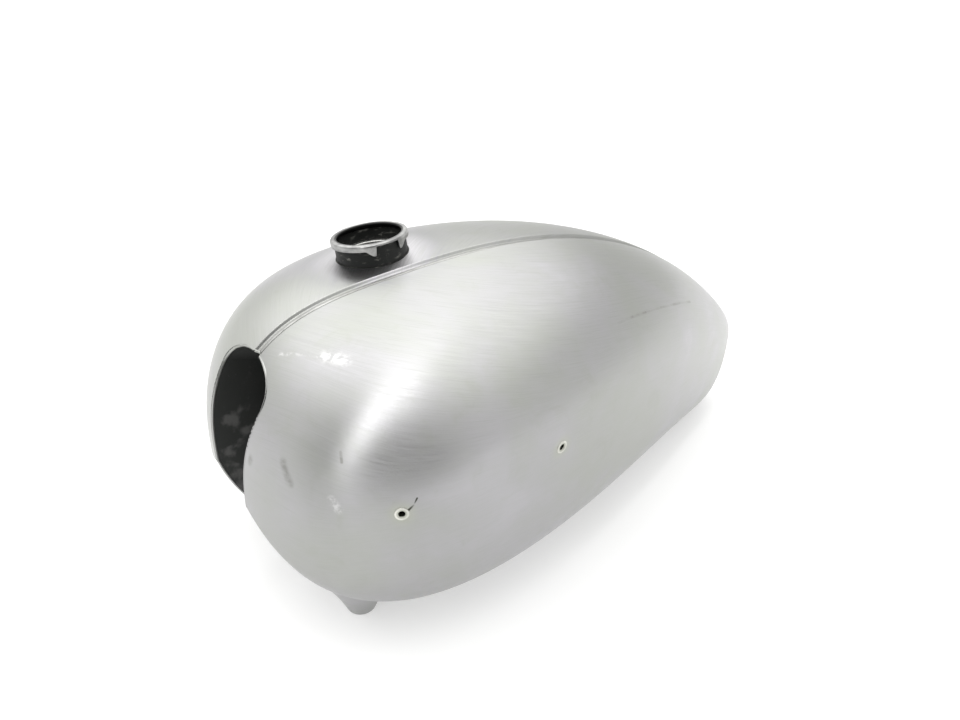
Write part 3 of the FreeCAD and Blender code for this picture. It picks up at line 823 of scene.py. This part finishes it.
LIP_RADIUS = 1.15
for side, sign in SIDES.items():
    _, edge, edge_normals, _ = shells[side]
    place = evened(softened(edge, closed=False), 2.5, closed=False)
    lift = np.stack([np.interp(np.linspace(0, 1, len(place)), np.linspace(0, 1, len(edge)),
                               edge_normals[:, k]) for k in range(3)], axis=1)
    inwards = place * 0.0
    inwards[:, 0] = -sign * np.minimum(np.abs(place[:, 0]), 0.6)
    lip = swept(f"{side}_mouth_lip", place + inwards - lift * LIP_RADIUS * 0.8, 10, LIP_RADIUS, SKIN,
                closed=False, lift=lift)

for node in ("tunnel", "neck_collar"):
    frame["nodes"][node].data.materials.clear()
    frame["nodes"][node].data.materials.append(TUNNEL)
for node in ("rear_bridge", "rear_bridge_nut"):
    frame["nodes"][node].data.materials.clear()
    frame["nodes"][node].data.materials.append(FIXING)

SEAM_WELD_HALF = 1.5
SEAM_WELD_RISE = 0.55
SEAM_WELD_STOP = 0.6  # how far the bead keeps clear of the tunnel
SEAM_SAMPLES = 1601
centre_u = np.linspace(0.0, 1.0, SEAM_SAMPLES)
centre_line = skin(centre_u, np.zeros_like(centre_u))
in_channel = (centre_line[:, 1] < CHANNEL_ENDS[0]) & (outside_tunnel(centre_line, SHEET) > SEAM_WELD_STOP)
bead_path = evened(centre_line[in_channel], 1.0, closed=False)
seam_bead = swept("seam_bead", bead_path, 12, SEAM_WELD_HALF, WELD, closed=False,
                  flatten=SEAM_WELD_RISE / SEAM_WELD_HALF, ripple=0.05, pitch=2.6)
stand_for(seam_bead, "weld_bead", "seam_weld")

# ---------------------------------------------------------------- filler neck
RIM_RADIUS = 31.5
RIM_BORE = 26.0
TUBE_RADIUS = 29.0
TUBE_WALL = 2.0
TUBE_LENGTH = 30.0
MOUTH_DEPTH = 2.6
RIM_SHEET = 1.6
RIM_SKIRT = 5.2
RIM_TAB = 9.6
NOTCH_CENTRE = 2.0
NOTCH_HALF = 19.0
TAB_FULL = 22.5
TAB_FADES = 36.0

neck_centre, neck_turn = mount_matrix("filler_mouth")
neck_place = (neck_centre + neck_turn[:, 2] * MOUTH_DEPTH, neck_turn)


def skirt_depth(angle):
    """How far the rim's skirt comes down: short in the notches, long at the tabs."""
    degrees = math.degrees(angle) - NOTCH_CENTRE
    away = abs((degrees + 90.0) % 180.0 - 90.0)
    skirt = RIM_TAB + (RIM_SKIRT - RIM_TAB) * smooth_step(away, TAB_FULL, TAB_FADES)
    short = 1.0 - smooth_step(away, NOTCH_HALF - 1.2, NOTCH_HALF + 1.2)
    return skirt + (RIM_SHEET + 0.5 - skirt) * short


def rim_outline(angle):
    """Cross-section of the rim and its skirt at an angle round the neck's axis."""
    low = -skirt_depth(angle)
    return rounded((
        (RIM_BORE, -4.0, 0.4), (RIM_BORE, 0.0, 1.5), (RIM_RADIUS, 0.0, 2.2), (RIM_RADIUS, low, 0.5),
        (RIM_RADIUS - 1.3, low, 0.5), (RIM_RADIUS - 1.3, -RIM_SHEET, 0.1),
        (TUBE_RADIUS - TUBE_WALL, -RIM_SHEET, 0.1), (TUBE_RADIUS - TUBE_WALL, -4.0, 0.4)))


rim = turned("filler_ring", rim_outline, neck_place, RIM, segments=360)
stand_for(rim, "rim_steel", "filler_rim")

tube_outline = rounded((
    (TUBE_RADIUS - TUBE_WALL, -TUBE_LENGTH, 0.4), (TUBE_RADIUS - TUBE_WALL, -RIM_SHEET, 0.2),
    (TUBE_RADIUS, -RIM_SHEET, 0.2), (TUBE_RADIUS, -TUBE_LENGTH, 0.4)))
tube = turned("filler_tube", lambda angle: tube_outline, neck_place, NECK)
stand_for(tube, "neck_black", "filler_neck")

SEAT_DEPTH = 14.0
SEAT_BORE = 22.5
SEAT_SHEET = 1.5
ledge_outline = rounded((
    (TUBE_RADIUS - TUBE_WALL, -SEAT_DEPTH - SEAT_SHEET, 0.2), (TUBE_RADIUS - TUBE_WALL, -SEAT_DEPTH, 0.2),
    (SEAT_BORE, -SEAT_DEPTH, 1.2), (SEAT_BORE, -SEAT_DEPTH - 4.0, 0.4),
    (SEAT_BORE + SEAT_SHEET, -SEAT_DEPTH - 4.0, 0.4),
    (SEAT_BORE + SEAT_SHEET, -SEAT_DEPTH - SEAT_SHEET, 0.3)))
ledge = turned("filler_ledge", lambda angle: ledge_outline, neck_place, LEDGE)
stand_for(ledge, "rim_steel", "filler_seat")


def ring_on_skin(place, radius, side, away=1.0, count=120):
    """Where a tube round a mount's axis meets the skin, seen from outside."""
    centre, turn = place
    tree = shells[side][3]
    points, normals = [], []
    for k in range(count):
        angle = 2.0 * math.pi * k / count
        start = centre + turn @ np.array([radius * math.cos(angle), radius * math.sin(angle), away * 20.0])
        place_hit, normal, _, _ = tree.ray_cast(Vector(start), Vector(-away * turn[:, 2]), 120.0)
        if place_hit is not None:
            points.append(tuple(place_hit))
            normals.append(tuple(normal))
    return np.array(points), np.array(normals)


ring, ring_normals = ring_on_skin(neck_place, TUBE_RADIUS + 0.5, "right")
neck_fillet = swept("neck_fillet", ring, 10, 0.5, NECK, closed=True, lift=ring_normals, ripple=0.06)

# ---------------------------------------------------------------- badge bushes and tap bungs
BUSH_RADIUS = 5.2
BUSH_BORE = 2.1
BUSH_PITCH = 0.8
SCREW_DEPTH = 4.2
bush_outline = rounded(
    [(0.02, -12.0, 0.0), (0.02, -9.0, 0.0), (BUSH_BORE, -8.6, 0.0)]
    + thread_wall(BUSH_BORE, -8.6, -0.4, BUSH_PITCH)
    + [(BUSH_BORE, -0.4, 0.0), (BUSH_BORE + 0.5, 0.35, 0.2), (BUSH_RADIUS, 0.35, 0.5),
       (BUSH_RADIUS, -12.0, 0.3)])
for side in SIDES:
    for end in BADGE_ENDS:
        centre, turn = mount_matrix(f"{side}_{end}_badge_screw")
        place = (centre + turn[:, 2] * SCREW_DEPTH, turn)
        piece = turned(f"{side}_{end}_bush", lambda angle: bush_outline, place, BUSH, segments=72)
        stand_for(piece, "bush_steel", f"{side}_{end}_badge_bush")

TAP_RADIUS = 11.0
TAP_BORE = 5.9
TAP_PITCH = 1.34
tap_outline = rounded(
    [(TAP_BORE, -8.0, 0.0)] + thread_wall(TAP_BORE, -8.0, 7.6, TAP_PITCH)
    + [(TAP_BORE, 7.4, 0.0), (TAP_BORE + 0.6, 8.0, 0.1), (TAP_RADIUS, 8.0, 1.0),
       (TAP_RADIUS, -8.0, 0.5)])
for side in SIDES:
    place = mount_matrix(f"{side}_fuel_tap")
    piece = turned(f"{side}_tap_fitting", lambda angle: tap_outline, place, BUSH, segments=96)
    stand_for(piece, "bush_steel", f"{side}_tap_bung")
    ring, ring_normals = ring_on_skin(place, TAP_RADIUS + 0.4, side)
    if len(ring) > 60:
        piece = swept(f"{side}_tap_fillet", ring, 10, 0.9, WELD, closed=True, lift=ring_normals,
                      ripple=0.08)

# ---------------------------------------------------------------- front mounting cups
CUP_FOOT = 11.5
CUP_NECK = 17.0
CUP_NECK_HEIGHT = 15.0
CUP_FLARE = 34.6
CUP_FLARE_HEIGHT = 52.0
CUP_SHEET = 1.5
CUP_HOLE = 4.2
CUP_FLARE_WALL = 2.0  # the sheet measured level, where the wall leans
CUP_NECK_WALL = 1.6
BUNG_RADIUS = 7.5
BUNG_BORE = 3.4
BUNG_PITCH = 1.25
# heights below are measured down from the foot, along the mount's own axis
cup_outline = rounded((
    (CUP_HOLE, 0.0, 0.3), (CUP_FOOT, 0.0, 2.6), (CUP_NECK, -CUP_NECK_HEIGHT, 9.0),
    (CUP_FLARE, -CUP_FLARE_HEIGHT, 0.3), (CUP_FLARE - CUP_FLARE_WALL, -CUP_FLARE_HEIGHT, 0.3),
    (CUP_NECK - CUP_NECK_WALL, -CUP_NECK_HEIGHT, 8.0), (CUP_FOOT - CUP_SHEET, -CUP_SHEET, 1.5),
    (CUP_HOLE, -CUP_SHEET, 0.3)), steps=8)
bung_outline = rounded(
    [(0.02, -27.0, 0.0), (0.02, -15.5, 0.0), (BUNG_BORE, -15.0, 0.0)]
    + thread_wall(BUNG_BORE, -15.0, -1.9, BUNG_PITCH)
    + [(BUNG_BORE, -1.9, 0.0), (BUNG_BORE + 0.5, -1.5, 0.1), (BUNG_RADIUS, -1.5, 0.4),
       (BUNG_RADIUS, -27.0, 0.4)])
for side in SIDES:
    centre, turn = mount_matrix(f"{side}_front_mount")
    foot = np.array([centre[0], centre[1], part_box(f"{side}_mount_cup")[0].z / MM])
    cup = turned(f"{side}_cup", lambda angle: cup_outline, (foot, turn), SKIN)
    stand_for(cup, "cup_steel", f"{side}_mount_cup")
    bung = turned(f"{side}_threaded_bung", lambda angle: bung_outline, (foot, turn), BUSH, segments=72)
    stand_for(bung, "bush_steel", f"{side}_mount_bung")
    slope = np.array([CUP_FLARE - CUP_NECK, CUP_FLARE_HEIGHT - CUP_NECK_HEIGHT])
    slope /= np.linalg.norm(slope)
    path, lift = [], []
    for k in range(120):
        angle = 2.0 * math.pi * k / 120
        out = turn @ np.array([math.cos(angle), math.sin(angle), 0.0])
        start = foot + out * CUP_NECK - turn[:, 2] * CUP_NECK_HEIGHT
        heading = out * slope[0] - turn[:, 2] * slope[1]
        hit, normal, _, _ = shells[side][3].ray_cast(Vector(start - 12.0 * heading), Vector(heading), 80.0)
        if hit is not None:
            path.append(tuple(hit))
            lift.append(tuple(normal))
    if len(path) > 100:
        bead = swept(f"{side}_cup_fillet", np.array(path), 10, 1.3, WELD, closed=True,
                     lift=np.array(lift), ripple=0.07)

# ---------------------------------------------------------------- floor, light and camera
FLOOR_HALF = 6.0
floor_look = Look("floor_white", Metallic=0.0, Specular_IOR_Level=0.2, Emission_Strength=0.46)
floor_look.shader.inputs["Emission Color"].default_value = (1.0, 1.0, 1.0, 1.0)
floor_grain = floor_look.noise(floor_look.place, 3.0, 3.0)
floor_colour = floor_look.mixed(floor_look.span(floor_grain, 0.3, 0.7), (0.56, 0.56, 0.56),
                                (0.58, 0.58, 0.58))
FLOOR = floor_look.finish(floor_colour, floor_look.span(floor_grain, 0.3, 0.7, 0.85, 0.95))
floor_mesh = bpy.data.meshes.new("floor")
floor_z = CAD_BOX[0].z
floor_mesh.from_pydata([(-FLOOR_HALF, -FLOOR_HALF, floor_z), (FLOOR_HALF, -FLOOR_HALF, floor_z),
                        (FLOOR_HALF, FLOOR_HALF, floor_z), (-FLOOR_HALF, FLOOR_HALF, floor_z)],
                       [], [(0, 1, 2, 3)])
floor_mesh.materials.append(FLOOR)
floor = bpy.data.objects.new("floor", floor_mesh)
bpy.context.scene.collection.objects.link(floor)


def toward(azimuth, elevation):
    """Unit vector from the tank to that compass place round it."""
    a, e = math.radians(azimuth), math.radians(elevation)
    return Vector((math.sin(a) * math.cos(e), -math.cos(a) * math.cos(e), math.sin(e)))


# strength of the surround: its base, how much the ceiling adds, how much the dim side takes away
SURROUND_BASE = 0.95
CEILING_GAIN = 1.50
SHADE_LOSS = 0.85
BACKDROP = 1.0


def studio_surround():
    """Plain pale surround: brighter overhead, a little dimmer on one side."""
    world = bpy.data.worlds.new("studio")
    world.use_nodes = True
    nodes = Nodes(world.node_tree, "Generated")
    ceiling = nodes.maths("MULTIPLY", nodes.facing(toward(-100.0, 66.0), 20.0, 60.0), CEILING_GAIN)
    shade = nodes.maths("MULTIPLY", nodes.facing(toward(46.0, 2.0), 16.0, 62.0), SHADE_LOSS)
    level = nodes.maths("SUBTRACT", nodes.maths("ADD", ceiling, SURROUND_BASE), shade)
    # the backdrop that is seen stays plain and pale; the varied surround only lights the tank
    seen = nodes.add("ShaderNodeLightPath").outputs["Is Camera Ray"]
    level = nodes.maths("ADD", nodes.maths("MULTIPLY", level, nodes.maths("SUBTRACT", 1.0, seen)),
                        nodes.maths("MULTIPLY", seen, BACKDROP))
    background = world.node_tree.nodes["Background"]
    background.inputs["Color"].default_value = (1.0, 1.0, 0.985, 1.0)
    nodes.feed(background.inputs["Strength"], level)
    return world


bpy.context.scene.world = studio_surround()
bpy.context.scene.view_settings.view_transform = "Standard"


def add_softbox(name, azimuth, elevation, distance, width, height, power, lean=0.0):
    """Rectangular light facing the tank's middle, from that compass place round it, leaning by lean."""
    target = (CAD_BOX[0] + CAD_BOX[1]) / 2.0
    back = toward(azimuth, elevation)
    lamp = bpy.data.lights.new(name, "AREA")
    lamp.shape = "RECTANGLE"
    lamp.size = width
    lamp.size_y = height
    lamp.energy = power
    holder = bpy.data.objects.new(name, lamp)
    holder.location = target + back * distance
    holder.rotation_mode = "QUATERNION"
    roll_back = Quaternion((0.0, 0.0, 1.0), math.radians(lean))
    holder.rotation_quaternion = back.to_track_quat("Z", "Y") @ roll_back
    bpy.context.scene.collection.objects.link(holder)
    return holder


# narrow strip that draws the bright streak over the front shoulder
STRIP_AZIMUTH = 33.0
STRIP_ELEVATION = 49.0
STRIP_DISTANCE = 1.5
STRIP_WIDTH = 0.08
STRIP_HEIGHT = 2.0
STRIP_POWER = 5.4
STRIP_LEAN = -14.0
add_softbox("strip", STRIP_AZIMUTH, STRIP_ELEVATION, STRIP_DISTANCE, STRIP_WIDTH, STRIP_HEIGHT,
            STRIP_POWER, lean=STRIP_LEAN)

CAMERA_AZIMUTH = 55.65
CAMERA_ELEVATION = 32.68
CAMERA_ROLL = 1.14
CAMERA_DISTANCE = 0.8096
CAMERA_LENS = 32.47
CAMERA_SENSOR = 36.0
CAMERA_CLIP = 0.05
CAMERA_TARGET = Vector((-32.5, -19.8, 118.2)) * MM
azimuth, roll = math.radians(CAMERA_AZIMUTH), math.radians(CAMERA_ROLL)
back = toward(CAMERA_AZIMUTH, CAMERA_ELEVATION)
right = Vector((math.cos(azimuth), math.sin(azimuth), 0.0))
up = back.cross(right)
camera_right = right * math.cos(roll) + up * math.sin(roll)
camera_up = up * math.cos(roll) - right * math.sin(roll)
camera_data = bpy.data.cameras.new("camera")
camera_data.lens = CAMERA_LENS
camera_data.sensor_width = CAMERA_SENSOR
camera_data.clip_start = CAMERA_CLIP
camera = bpy.data.objects.new("camera", camera_data)
camera.matrix_world = (Matrix.Translation(CAMERA_TARGET + back * CAMERA_DISTANCE)
                       @ Matrix((camera_right, camera_up, back)).transposed().to_4x4())
bpy.context.scene.collection.objects.link(camera)
bpy.context.scene.camera = camera
